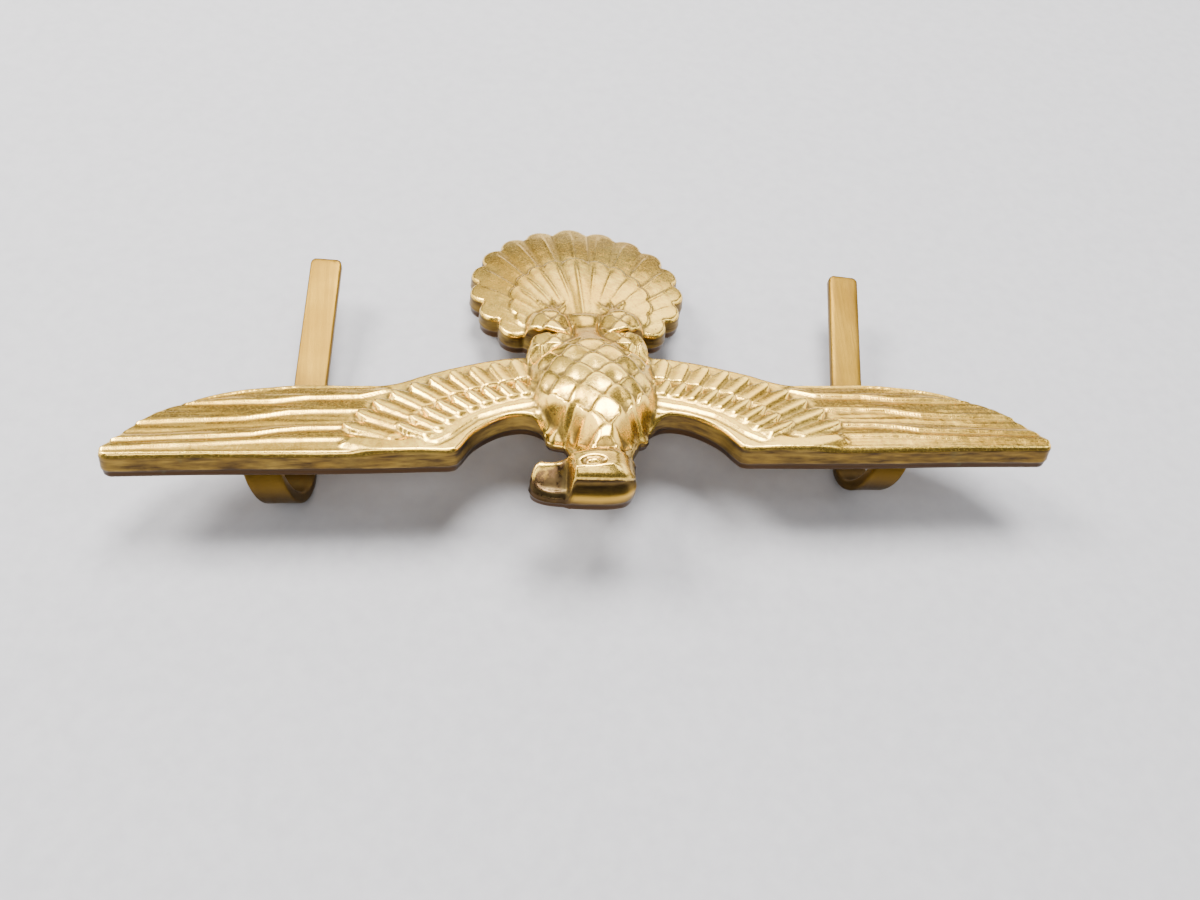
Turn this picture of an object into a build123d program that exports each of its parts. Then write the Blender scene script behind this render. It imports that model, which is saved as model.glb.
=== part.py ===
"""Spread-winged bird cap badge: a hollow struck brass shell with two bendable prongs soldered to its back.

Frame: +X along the wings, +Y from the head to the tail, +Z out of the decorated face. The origin is on the
centre line, on the wings' leading edge, in the plane of the back rim (z = 0). Millimetres.
"""

from build123d import *
import math
import os

# Driving dimensions of the struck shell
WINGSPAN = 66.0
WALL_HEIGHT = 2.1        # back rim to the top of the wings' leading edge
TRAILING_HEIGHT = 1.7    # back rim to the top of the wings' trailing edge
RIM_THICKNESS = 0.65     # metal left at the rim, seen from the back
CAVITY_DEPTH = 1.1       # hollow behind the wings and the tail
WING_CHORD = 7.8
WING_ROOT_Y = 11.4       # trailing edge at the body
COVERT_HEIGHT = 2.35

# The right wing's outline in plan; the left one is its mirror image
WRIST = (9.9, 0.3)       # where the leading edge turns back to the neck
TIP_ROUND = [(32.6, 0.0), (WINGSPAN / 2, 0.6), (32.6, 1.5)]
TRAILING_EDGE = [(30.4, 4.4), (26.0, 7.0), (21.0, WING_CHORD), (15.0, WING_CHORD)]
COVERT_EDGE = [(8.6, 10.7), (4.4, WING_ROOT_Y)]
NECK_SIDE = [(0.0, 2.0), (3.2, 2.9)]
NECK_NOTCH = [(5.2, 4.0), (7.2, 3.4)]
# The raised patch of short feathers next to the body
PATCH_EDGE = [(4.0, 11.0), (8.6, 10.3), (14.4, 7.4), (17.6, 3.2), (15.5, 2.0)]
PATCH_INNER_CORNER = (4.0, 5.0)
# Corners of the right wing's hollow, before it is set in by the rim
HOLLOW_TIP = (32.8, 0.0)
HOLLOW_NECK = [(0.0, 3.4), (5.2, 4.2), (7.4, 3.6)]

# The body is turned about an axis a little below the rim plane
BODY_AXIS_Z = -0.7
BODY_RADIUS = 5.0
BODY_SHEET = 1.1         # metal between the body's face and its hollow
# Along the body: Y and the share of the full radius there
BODY_STATIONS = [(-0.8, 0.58), (2.0, 0.76), (5.0, 0.96), (8.5, 1.0), (12.5, 0.92), (14.5, 0.8)]
BODY_PASSAGE = (6.0, 7.0)    # width and length of the way between the two wings' hollows
BODY_PASSAGE_Y = 7.0
THIGH_RADIUS = 2.7
THIGH_X = 2.5
THIGH_Y = 13.2
THIGH_Z = 0.5

HEAD_HEIGHT = 3.9
CROWN_Y = -4.0           # the crown, furthest ahead of the leading edge
NECK_END_Y = 1.0         # how far the head runs back into the neck
SKULL_X = -0.45
SKULL_WIDTH = 4.9
SKULL_CORNER = 1.1
SKULL_ROUND = 0.9
BEAK_HEIGHT = 3.1
BEAK_CENTRE = (-3.75, -2.6)
BEAK_HALF_WIDTH = 1.5
BEAK_HALF_LENGTH = 1.75
BEAK_ROUND = 0.8

TAIL_CENTRE_Y = 20.0
TAIL_RADIUS = 8.8
TAIL_NOTCH = 0.7         # depth of the notches between the feathers' tips
TAIL_RIM_HEIGHT = 1.7
TAIL_CROWN_HEIGHT = 2.6
TAIL_FEATHERS = 15
TAIL_LOBE_RADIUS = 1.5
TAIL_FAN_DEGREES = 270.0

# Flat prongs: one brass strip each, soldered on, bent round and back under the wing
STRIP_WIDTH = 2.4
STRIP_THICKNESS = 0.8
FOOT_LENGTH = 2.1
RIM_CLEARANCE = 0.25     # between the bend and the rim, seen from the back
LEG_RISE_DEGREES = 23.5  # how far each leg lifts towards the back of the badge
BEND_SECTIONS = 13
TIP_CORNER = 0.35
SOLDER_MARGIN = 0.3
SOLDER_HEIGHT = 0.4
SOLDER_TAPER_DEGREES = 30

# Hand-soldered and hand-bent, so each side differs: where the foot is soldered, where the leg leaves
# the bend, the bend's centreline radius, the leg's sideways heading in degrees and its length
PRONGS = {
    "left": {"foot_x": -23.5, "leg_x": -21.2, "radius": 2.8, "heading": 4.0, "leg": 18.3},
    "right": {"foot_x": 22.2, "leg_x": 20.1, "radius": 2.4, "heading": 7.0, "leg": 17.0},
}


def above_rim(solid):
    """The part of a solid above the rim plane."""
    size = 2 * WINGSPAN
    return solid & Pos(0, 0, size / 2) * Box(size, size, size)


def wing_outline():
    """The right wing in plan, closed along the centre line."""
    leading = Line(WRIST, TIP_ROUND[0])
    tip_round = ThreePointArc(*TIP_ROUND)
    trailing = Spline(tip_round @ 1, *TRAILING_EDGE)
    coverts = Spline(trailing @ 1, *COVERT_EDGE)
    across = Line(coverts @ 1, (0, WING_ROOT_Y))
    centre = Line(across @ 1, NECK_SIDE[0])
    shoulder = Line(*NECK_SIDE)
    notch = Spline(shoulder @ 1, *NECK_NOTCH, WRIST)
    edges = [leading, tip_round, trailing, coverts, across, centre, shoulder, notch]
    return make_face(edges)


def wing_plate():
    """Both wings as a plate whose face slopes down to the trailing edge."""
    plate = extrude(wing_outline(), amount=WALL_HEIGHT)
    slope = math.degrees(math.atan2(WALL_HEIGHT - TRAILING_HEIGHT, WING_CHORD))
    above = Pos(0, 0, WINGSPAN / 2) * Box(2 * WINGSPAN, 2 * WINGSPAN, WINGSPAN)
    wing = plate - Pos(0, 0, WALL_HEIGHT) * Rot(-slope, 0, 0) * above
    return wing + mirror(wing, about=Plane.YZ)


def covert_patches():
    """The raised patches of short feathers next to the body."""
    edge = Spline(*PATCH_EDGE)
    inner = Line(edge @ 1, PATCH_INNER_CORNER)
    close = Line(inner @ 1, edge @ 0)
    patch = extrude(make_face([edge, inner, close]), amount=COVERT_HEIGHT)
    return patch + mirror(patch, about=Plane.YZ)


def body_of_revolution(reduce_by):
    """The breast and belly, turned about the long axis; reduce_by shrinks it for the hollow."""
    points = [(BODY_RADIUS * share - reduce_by, y) for y, share in BODY_STATIONS]
    profile = Spline(*points)
    back = Line(profile @ 1, (0, points[-1][1]))
    axis_line = Line(back @ 1, (0, points[0][1]))
    front = Line(axis_line @ 1, profile @ 0)
    turned = revolve(make_face([profile, back, axis_line, front]), axis=Axis.Y)
    return above_rim(Pos(0, 0, BODY_AXIS_Z) * turned)


def thighs():
    """Two rounded feathered thighs lying on the root of the tail."""
    return [above_rim(Pos(side * THIGH_X, THIGH_Y, THIGH_Z) * Sphere(THIGH_RADIUS)) for side in (-1, 1)]


def head():
    """The head in profile, beak towards -X, crown ahead of the wings."""
    length = NECK_END_Y - CROWN_Y
    skull_plan = Pos(SKULL_X, CROWN_Y + length / 2) * RectangleRounded(SKULL_WIDTH, length, SKULL_CORNER)
    skull = extrude(skull_plan, amount=HEAD_HEIGHT)
    skull = fillet(skull.faces().sort_by(Axis.Z)[-1].edges(), radius=SKULL_ROUND)
    beak_plan = Pos(*BEAK_CENTRE) * Ellipse(BEAK_HALF_WIDTH, BEAK_HALF_LENGTH)
    beak = extrude(beak_plan, amount=BEAK_HEIGHT)
    beak = fillet(beak.faces().sort_by(Axis.Z)[-1].edges(), radius=BEAK_ROUND)
    return skull + beak


def tail_fan():
    """A round convex fan of feathers, each feather's tip a lobe on the rim."""
    rise = TAIL_CROWN_HEIGHT - TAIL_RIM_HEIGHT
    crown_radius = (TAIL_RADIUS**2 + rise**2) / (2 * rise)
    lobe_centre_radius = TAIL_RADIUS - TAIL_LOBE_RADIUS
    fan = Circle(TAIL_RADIUS - TAIL_NOTCH)
    for i in range(TAIL_FEATHERS):
        angle = TAIL_FAN_DEGREES * (i / (TAIL_FEATHERS - 1) - 0.5) + 90
        fan += Rot(0, 0, angle) * Pos(lobe_centre_radius, 0) * Circle(TAIL_LOBE_RADIUS)
    plate = extrude(fan, amount=TAIL_CROWN_HEIGHT)
    crown = Pos(0, 0, TAIL_CROWN_HEIGHT - crown_radius) * Sphere(crown_radius)
    return Pos(0, TAIL_CENTRE_Y, 0) * (plate & crown)


def wing_hollow_outline():
    """The right wing's hollow in plan: the wing's own corners joined by straight lines, set in by the rim."""
    corners = Polyline(
        WRIST,
        HOLLOW_TIP,
        *TRAILING_EDGE,
        *COVERT_EDGE,
        (0, WING_ROOT_Y),
        *HOLLOW_NECK,
        close=True,
    )
    return offset(make_face(corners), amount=-RIM_THICKNESS, kind=Kind.INTERSECTION)


def cavity():
    """The hollow behind the wings, the body and the tail, open at the back."""
    wing = extrude(wing_hollow_outline(), amount=CAVITY_DEPTH)
    passage = Pos(0, BODY_PASSAGE_Y, CAVITY_DEPTH / 2) * Box(*BODY_PASSAGE, CAVITY_DEPTH)
    tail_radius = TAIL_RADIUS - TAIL_NOTCH - RIM_THICKNESS
    tail = Pos(0, TAIL_CENTRE_Y, CAVITY_DEPTH / 2) * Cylinder(tail_radius, CAVITY_DEPTH)
    return wing + mirror(wing, about=Plane.YZ) + passage + tail + body_of_revolution(BODY_SHEET)


def badge_shell():
    """The one struck piece."""
    shell = wing_plate() + covert_patches() + body_of_revolution(0.0) + tail_fan() + head()
    for thigh in thighs():
        shell += thigh
    return shell - cavity()


def prong_frame(side):
    """Bend centre, end angle and the strip's centreline as a function of share 0..1 round the bend."""
    dims = PRONGS[side]
    radius = dims["radius"]
    centre_y = RIM_THICKNESS + RIM_CLEARANCE + radius + STRIP_THICKNESS / 2
    centre_z = CAVITY_DEPTH - STRIP_THICKNESS / 2 - radius
    turn = math.radians(180 + LEG_RISE_DEGREES)
    arc = radius * turn
    drift = dims["leg_x"] - dims["foot_x"]
    end_slope = math.tan(math.radians(dims["heading"])) * arc
    return centre_y, centre_z, radius, turn, arc, drift, end_slope


def bend_plane(side, share):
    """Plane across the strip at a share of the bend; its z direction runs along the strip."""
    centre_y, centre_z, radius, turn, arc, drift, end_slope = prong_frame(side)
    angle = share * turn
    x = PRONGS[side]["foot_x"]
    x += drift * (3 * share**2 - 2 * share**3) + end_slope * (share**3 - share**2)
    slope = (drift * 6 * (share - share**2) + end_slope * (3 * share**2 - 2 * share)) / arc
    origin = Vector(x, centre_y - radius * math.sin(angle), centre_z + radius * math.cos(angle))
    around = Vector(0, -math.cos(angle), -math.sin(angle))
    along = (around + Vector(slope, 0, 0)).normalized()
    across = (Vector(1, 0, 0) - around * slope).normalized()
    return Plane(origin=origin, x_dir=across, z_dir=along)


def strip_section(plane):
    """The strip's flat rectangular section on a plane."""
    return plane * Rectangle(STRIP_WIDTH, STRIP_THICKNESS)


def prong_foot(side):
    """The flat end that is soldered to the floor of the wing's hollow."""
    start = bend_plane(side, 0.0)
    return extrude(strip_section(start), amount=-FOOT_LENGTH)


def prong_bend(side):
    """The bend that opens and closes when the prong is fitted."""
    planes = [bend_plane(side, i / (BEND_SECTIONS - 1)) for i in range(BEND_SECTIONS)]
    return loft([strip_section(plane) for plane in planes])


def prong_leg(side):
    """The straight leg, with the corners of its tip taken off."""
    end = bend_plane(side, 1.0)
    leg = extrude(strip_section(end), amount=PRONGS[side]["leg"])
    tip = leg.faces().sort_by(Axis.Y)[-1]
    mean_side = (STRIP_WIDTH + STRIP_THICKNESS) / 2
    corners = tip.edges().filter_by(lambda edge: edge.length < mean_side)
    return chamfer(corners, length=TIP_CORNER)


def solder_fillet(side):
    """The collar of solder round the foot, on the floor of the hollow."""
    centre_y, *_ = prong_frame(side)
    width = STRIP_WIDTH + 2 * SOLDER_MARGIN
    length = FOOT_LENGTH + SOLDER_MARGIN
    place = Pos(PRONGS[side]["foot_x"], centre_y + length / 2, CAVITY_DEPTH)
    collar = extrude(place * Rectangle(width, length), amount=-SOLDER_HEIGHT, taper=SOLDER_TAPER_DEGREES)
    return collar - prong_foot(side)


def main():
    os.makedirs("parts", exist_ok=True)
    nodes = {"badge_shell": badge_shell()}
    for side in PRONGS:
        nodes[f"{side}_prong_foot"] = prong_foot(side)
        nodes[f"{side}_prong_bend"] = prong_bend(side)
        nodes[f"{side}_prong_leg"] = prong_leg(side)
        nodes[f"{side}_solder"] = solder_fillet(side)
        centre_y, centre_z, *_ = prong_frame(side)
        print(side, "bend axis y", round(centre_y, 3), "z", round(centre_z, 3))
    for name, solid in nodes.items():
        solid.label = name
        export_step(solid, f"parts/{name}.step")
        print(name, "volume", round(solid.volume, 2))


main()
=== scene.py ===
"""Looks of the spread-winged bird cap badge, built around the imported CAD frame.

Plan positions and heights are millimetres in the frame of the CAD; mesh_object() turns them into metres.
The struck shell is one mesh: a detailed relief on top, a wall round the outline and a hollow back.
"""

import math

import bmesh
import bpy
import numpy as np
from mathutils import Matrix, Vector
from mathutils.geometry import delaunay_2d_cdt


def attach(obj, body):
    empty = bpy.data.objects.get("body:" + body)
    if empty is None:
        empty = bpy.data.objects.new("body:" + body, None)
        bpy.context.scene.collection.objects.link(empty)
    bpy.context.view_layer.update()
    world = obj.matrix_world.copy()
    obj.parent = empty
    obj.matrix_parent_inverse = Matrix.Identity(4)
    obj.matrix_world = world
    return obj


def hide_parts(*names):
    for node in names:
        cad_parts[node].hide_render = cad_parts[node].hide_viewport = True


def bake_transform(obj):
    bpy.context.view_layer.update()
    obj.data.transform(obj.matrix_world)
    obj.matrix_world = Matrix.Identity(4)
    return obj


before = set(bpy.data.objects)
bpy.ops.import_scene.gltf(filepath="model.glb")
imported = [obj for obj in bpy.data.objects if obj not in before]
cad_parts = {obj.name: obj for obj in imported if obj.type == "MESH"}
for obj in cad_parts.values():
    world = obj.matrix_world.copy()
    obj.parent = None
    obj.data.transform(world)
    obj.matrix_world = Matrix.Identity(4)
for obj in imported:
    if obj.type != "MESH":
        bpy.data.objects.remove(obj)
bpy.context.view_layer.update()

MM = 0.001
UNDER = -9.0             # height given where a feature doesn't reach
JOIN_DISTANCE = 2e-6     # metres

# ---------------------------------------------------------------- outline of the shell
GRID_STEP = 0.1
EDGE_STEP = 0.15         # spacing of points along the outline
TOP_INSET = 0.10         # draft of the wall, from the foot of the wall to its top edge
EDGE_ROUND = 0.21        # rounding between the wall and the decorated face
SHEAR_TOP = 0.62         # top of the darker band left by the trimming die
RIM_WIDTH = 0.66
# Share of the height, and inset from the outline, going down the wall and then down the trimmed band
WALL_PROFILE = [(0.95, 0.07), (0.87, 0.065), (0.78, 0.06), (0.68, 0.055), (0.57, 0.05), (0.45, 0.04),
                (0.33, 0.03), (0.2, 0.02), (0.07, 0.0)]
SHEAR_PROFILE = [(1.0, 0.02), (0.9, 0.06), (0.5, 0.08), (0.12, 0.10), (0.0, 0.14)]
LOWEST_TOP = 0.6         # top of the wall where it is lowest, round the throat and under the beak
CAVITY_DEPTH = 1.1
SHORTEST_LOOP = 3.0      # shorter outlines are specks

WING_FAR_EDGE = [
    (-6.0, 11.4), (4.4, 11.3), (8.0, 10.7), (11.7, 9.3), (14.2, 8.05), (16.5, 7.7), (21.0, 7.75),
    (25.0, 7.1), (27.2, 6.3), (28.4, 5.65), (29.0, 5.45), (30.1, 4.6), (30.7, 3.85), (31.1, 3.5),
    (31.75, 2.6), (32.1, 2.0), (32.4, 1.7), (32.8, 1.15), (32.93, 0.7), (32.82, 0.28), (32.4, 0.03),
]
WING_NEAR_EDGE = [
    (32.4, 0.03), (26.0, 0.1), (18.0, 0.05), (12.0, 0.15), (10.2, 0.22), (9.6, 0.7), (8.6, 2.25),
    (6.9, 3.55), (5.2, 3.95), (3.9, 3.35), (2.6, 2.0), (-6.0, 2.0),
]
NECK_AND_BODY = [
    (-4.4, 12.0), (-4.8, 8.0), (-4.6, 5.0), (-3.4, 3.3), (-2.5, 2.0), (-2.0, 0.3), (-2.1, -1.4),
    (1.9, -1.4), (2.05, -0.3), (2.45, 1.0), (3.3, 2.6), (4.6, 5.0), (4.8, 8.0), (4.4, 12.0),
]
SKULL = [
    (-2.0, 0.5), (-2.5, -0.6), (-2.9, -2.9), (-2.5, -3.45), (-1.0, -3.62), (0.4, -3.62), (1.35, -3.4),
    (1.95, -2.75), (2.05, -2.0), (1.85, -1.1), (1.9, 0.5),
]
BEAK = [
    (-2.1, -0.05), (-3.0, -0.25), (-3.95, -0.6), (-4.75, -1.15), (-5.15, -1.9), (-5.1, -2.5), (-4.6, -2.95),
    (-3.8, -3.22), (-3.0, -3.32), (-2.2, -3.3),
]

TAIL_CENTRE = (0.0, 20.0)
TAIL_DISC = 8.1          # radius of the fan where two feathers meet
TAIL_FEATHERS = 15
TAIL_LOBE = 1.5          # radius of each rounded tip
TAIL_LOBE_AT = 7.26      # from the centre of the fan to the centres of the tips
TAIL_SPREAD = 270.0      # degrees
TAIL_ROOT = (0.0, 12.6)  # where the feathers' middle lines meet


def unit(value):
    """The value held between 0 and 1."""
    return np.clip(value, 0.0, 1.0)


def positive(value):
    return np.maximum(value, 0.0)


def smooth(low, high, value):
    """0 below low, 1 above high, smooth between."""
    share = unit((value - low) / (high - low))
    return share * share * (3.0 - 2.0 * share)


def ridge(away, width):
    """1 where away is 0, falling off smoothly on both sides."""
    return np.exp(-((away / width) ** 2))


def curve(points, per_span=6):
    """Points of a smooth open curve through the given points."""
    padded = np.array([points[0], *points, points[-1]], float)
    t = np.linspace(0.0, 1.0, per_span, endpoint=False)[:, None]
    spans = []
    for p0, p1, p2, p3 in zip(padded, padded[1:], padded[2:], padded[3:]):
        bend = (2 * p0 - 5 * p1 + 4 * p2 - p3) * t**2 + (3 * p1 - p0 - 3 * p2 + p3) * t**3
        spans.append(0.5 * (2 * p1 + (p2 - p0) * t + bend))
    return np.vstack([*spans, padded[-1:]])


def closed_curve(points):
    """Points of a smooth closed curve through the given points."""
    return curve([*points, points[0]], 4)[:-1]


def distances_along(line):
    """How far each point of a line is from its first, measured along it."""
    return np.concatenate([[0.0], np.cumsum(np.hypot(*np.diff(line, axis=0).T))])


def points_along(line, at):
    """The points of a line at the given distances along it."""
    run = distances_along(line)
    return np.stack([np.interp(at, run, line[:, k]) for k in (0, 1)], axis=1)


def even_steps(points, count):
    """count points evenly spaced along the smooth curve through points."""
    line = curve(points)
    return points_along(line, np.linspace(0.0, distances_along(line)[-1], count))


def signed_distance(x, y, loop):
    """Distance to a closed outline, negative inside."""
    nearest = np.full(x.shape, 1e9)
    inside = np.zeros(x.shape, bool)
    for (ax, ay), (bx, by) in zip(loop, np.roll(loop, -1, axis=0)):
        ex, ey = bx - ax, by - ay
        wx, wy = x - ax, y - ay
        share = unit((wx * ex + wy * ey) / (ex * ex + ey * ey + 1e-12))
        nearest = np.minimum(nearest, (wx - ex * share) ** 2 + (wy - ey * share) ** 2)
        if ay != by:
            inside ^= ((ay > y) != (by > y)) & (x < ax + (y - ay) * ex / ey)
    return np.where(inside, -1.0, 1.0) * np.sqrt(nearest)


def tail_lobes():
    """Centres of the rounded feather tips round the fan, first at its right foot."""
    angles = np.radians(TAIL_SPREAD * (np.arange(TAIL_FEATHERS) / (TAIL_FEATHERS - 1) - 0.5) + 90.0)
    x = TAIL_CENTRE[0] + TAIL_LOBE_AT * np.cos(angles)
    y = TAIL_CENTRE[1] + TAIL_LOBE_AT * np.sin(angles)
    return np.stack([x, y], axis=1)


def outline_field(x, y):
    """Signed distance to the outline of the whole badge in plan."""
    wing = np.vstack([curve(WING_FAR_EDGE), curve(WING_NEAR_EDGE)[1:]])
    field = signed_distance(np.abs(x), y, wing)
    for outline in (NECK_AND_BODY, SKULL, BEAK):
        field = np.minimum(field, signed_distance(x, y, closed_curve(outline)))
    field = np.minimum(field, np.hypot(x - TAIL_CENTRE[0], y - TAIL_CENTRE[1]) - TAIL_DISC)
    for lobe_x, lobe_y in tail_lobes():
        field = np.minimum(field, np.hypot(x - lobe_x, y - lobe_y) - TAIL_LOBE)
    return field


class Raster:
    """A field on a regular grid in plan, read back anywhere between its points."""

    def __init__(self, values, xs, ys):
        self.values, self.xs, self.ys = values, xs, ys

    def at(self, x, y):
        """The field at any points, straight between the four grid points round each."""
        i = np.clip((x - self.xs[0]) / GRID_STEP, 0, len(self.xs) - 1.001)
        j = np.clip((y - self.ys[0]) / GRID_STEP, 0, len(self.ys) - 1.001)
        i0, j0 = i.astype(int), j.astype(int)
        u, v = i - i0, j - j0
        f = self.values
        low = f[j0, i0] * (1 - u) + f[j0, i0 + 1] * u
        high = f[j0 + 1, i0] * (1 - u) + f[j0 + 1, i0 + 1] * u
        return low * (1 - v) + high * v

    def outward(self, x, y):
        """Unit direction in which the field grows."""
        gx = self.at(x + GRID_STEP, y) - self.at(x - GRID_STEP, y)
        gy = self.at(x, y + GRID_STEP) - self.at(x, y - GRID_STEP)
        size = np.hypot(gx, gy) + 1e-9
        return gx / size, gy / size

    def loops(self, level, spacing):
        """Closed curves at a level, found cell by cell and evenly resampled."""
        f = np.where(self.values == level, 1e-9, self.values - level)
        inside = f < 0
        count = inside[:-1, :-1].astype(int) + inside[1:, :-1] + inside[:-1, 1:] + inside[1:, 1:]
        links = {}
        for j, i in np.argwhere((count > 0) & (count < 4)):
            corners = (inside[j, i], inside[j, i + 1], inside[j + 1, i + 1], inside[j + 1, i])
            sides = ((0, j, i), (1, j, i + 1), (0, j + 1, i), (1, j, i))
            cut = [sides[k] for k in range(4) if corners[k] != corners[(k + 1) % 4]]
            for a, b in (cut[:2], cut[2:])[: len(cut) // 2]:
                links.setdefault(a, []).append(b)
                links.setdefault(b, []).append(a)
        found = []
        while links:
            key = next(iter(links))
            chain = []
            while key in links:
                chain.append(key)
                ahead = [k for k in links.pop(key) if k in links]
                key = ahead[0] if ahead else None
            points = np.array([self.crossing(f, *k) for k in chain])
            closed = np.vstack([points, points[:1]])
            length = distances_along(closed)[-1]
            if length > SHORTEST_LOOP:
                at = np.linspace(0.0, length, int(length / spacing), endpoint=False)
                found.append(points_along(closed, at))
        return found

    def crossing(self, f, vertical, j, i):
        """Where the level cuts one side of a grid cell."""
        j2, i2 = (j + 1, i) if vertical else (j, i + 1)
        share = f[j, i] / (f[j, i] - f[j2, i2])
        x = self.xs[i] + (self.xs[i2] - self.xs[i]) * share
        y = self.ys[j] + (self.ys[j2] - self.ys[j]) * share
        return x, y


# ---------------------------------------------------------------- relief of the decorated face
# Near edges of the long flight feathers, from the far edge of the wing to the near one: height of the step
# and the line that it follows.
FLIGHT_STEPS = [
    (0.12, [(15.5, 7.45), (21.0, 7.4), (24.5, 6.85), (27.0, 6.05), (28.6, 5.5)]),
    (0.21, [(14.6, 6.9), (16.5, 6.15), (20.0, 6.05), (22.5, 5.62), (28.7, 5.5)]),
    (0.21, [(16.0, 4.5), (19.3, 4.5), (21.2, 4.36), (24.0, 3.75), (26.4, 3.6), (31.0, 3.35)]),
    (0.08, [(17.0, 3.3), (19.7, 3.2), (22.9, 3.08), (26.1, 2.85), (29.5, 2.45)]),
    (0.22, [(16.5, 2.8), (20.0, 2.68), (21.8, 2.45), (23.3, 2.07), (25.4, 1.91), (28.5, 1.75), (32.4, 1.6)]),
    (0.15, [(13.0, 1.5), (17.0, 1.46), (22.5, 1.4), (25.0, 1.2), (28.0, 1.05), (31.0, 0.82), (32.9, 0.75)]),
]

WING_LEVEL = 2.02        # height of the wing's plain slope at its near edge
WING_FALL = 0.052        # fall of that slope per millimetre away from the near edge
WING_FAR_LIMIT = 7.9
LIP_FALL = 0.42          # share of a step's height lost at its rounded lip
LIP_WIDTH = 0.34
STREAK_HEIGHT = 0.028
NEAR_SLOPE_WIDTH = 1.2   # the slope between the last step and the near edge
NEAR_SLOPE_DROP = 0.10
NEAR_BEAD_HEIGHT = 0.045

# Crest lines of the short feathers run from the base curve to the tip curve
OUTER_TIPS = [
    (17.75, 2.7), (16.9, 4.1), (15.8, 5.3), (14.75, 6.3), (13.4, 7.1), (12.05, 7.85), (10.7, 8.5),
    (9.1, 9.0), (7.6, 9.45), (6.0, 9.9), (4.4, 10.3),
]
OUTER_BASES = [
    (14.6, 1.5), (13.9, 2.5), (13.3, 3.6), (12.6, 4.45), (11.7, 5.2), (10.6, 5.95), (9.4, 6.5),
    (8.1, 7.0), (6.8, 7.5), (5.4, 7.9), (4.0, 8.2),
]
INNER_TIPS = [
    (14.1, 2.6), (13.15, 3.55), (12.3, 4.45), (11.35, 5.15), (10.35, 5.75), (9.3, 6.25), (8.15, 6.65),
    (7.1, 6.95), (5.9, 7.3), (4.6, 7.6),
]
INNER_BASES = [
    (12.2, 1.7), (11.4, 2.3), (10.8, 3.0), (10.15, 3.7), (9.3, 4.3), (8.3, 4.85), (7.2, 5.35),
    (6.2, 5.7), (5.1, 6.0), (4.0, 6.2),
]
STEEP_SHARE = 0.3        # share of a short feather's width that its steep outboard face takes
CREST_RISE = 0.22
OUTERMOST_WIDTH = 1.2
ARM_NEAR_SIDE = [(13.6, 1.25), (16.9, 1.5), (17.3, 1.0), (11.0, -1.0), (2.0, 2.0)]
ARM_LEVEL = 2.2
ARM_FALL = 0.012
ARM_GROOVE = [(4.2, 4.9), (6.5, 4.3), (8.4, 3.45), (9.4, 2.5), (10.2, 1.6), (11.2, 0.9), (13.0, 0.7)]


def flight_feathers(ax, y):
    """The wing's own slope with the long feathers stepped like shingles."""
    height = WING_LEVEL - WING_FALL * y
    lines = [np.interp(ax, *np.array(points).T) for _, points in FLIGHT_STEPS]
    far = np.full_like(ax, WING_FAR_LIMIT)
    for (step, points), near in zip(FLIGHT_STEPS, lines):
        start = points[0][0]
        above = y - near
        share = unit(above / np.maximum(far - near, 0.01))
        fade = smooth(start - 0.5, start + 0.5, ax)
        lip = 1.0 - LIP_FALL * (1.0 - unit(above / LIP_WIDTH)) ** 2
        height = height + fade * step * smooth(-0.07, 0.03, above) * (1.0 - share) ** 1.3 * lip
        far = near
    streaks = waves(0.08 * ax, y, 0.5, 2.9) + 0.5 * waves(0.05 * ax, y, 1.1, 1.3)
    height = height + STREAK_HEIGHT * streaks * smooth(14.0, 17.0, ax)
    slope = unit((lines[-1] - y) / NEAR_SLOPE_WIDTH)
    return height - NEAR_SLOPE_DROP * slope + NEAR_BEAD_HEIGHT * ridge(y - 0.42, 0.12)


def feather_row(ax, y, tips, bases, count, low, round_end, under):
    """A row of short overlapping feathers: each has a broad inboard face and a steep outboard one."""
    sides = []
    alongs = []
    for (tx, ty), (bx, by) in zip(even_steps(tips, count), even_steps(bases, count)):
        length = math.hypot(tx - bx, ty - by)
        ex, ey = (tx - bx) / length, (ty - by) / length
        sides.append((ax - bx) * -ey + (y - by) * ex)
        alongs.append(((ax - bx) * ex + (y - by) * ey) / length)
    result = under.copy()
    for k in range(count - 1):
        gap = sides[k] - sides[k + 1]
        share = sides[k] / np.where(np.abs(gap) < 1e-6, 1e-6, gap)
        along = alongs[k] * (1 - share) + alongs[k + 1] * share
        here = (sides[k] >= 0) & (sides[k + 1] < 0) & (gap > 0)
        if k == 0:
            beyond = sides[0] < 0
            share = np.where(beyond, sides[0] / OUTERMOST_WIDTH, share)
            along = np.where(beyond, alongs[0], along)
            here |= beyond & (share > -STEEP_SHARE)
        on_next = share > 1.0 - STEEP_SHARE
        broad = 1.0 - unit(share) / (1.0 - STEEP_SHARE)
        next_rise = (share - (1.0 - STEEP_SHARE)) / STEEP_SHARE
        outboard = 1.0 + share / STEEP_SHARE
        profile = np.where(on_next, next_rise, np.where(share < 0, outboard, broad))
        profile = np.sin(unit(profile) * math.pi / 2) ** 1.2
        middle = np.where(on_next, share - 1.0 - 0.2, share - 0.2)
        end = 1.0 - round_end * (2.0 * middle) ** 2
        cover = smooth(0.0, 0.07, end - along) * smooth(-0.35, -0.05, along)
        swell = 0.65 + 0.35 * unit(along)
        height = low + CREST_RISE * profile * swell
        result = np.where(here, under + (height - under) * cover, result)
    return result


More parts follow.
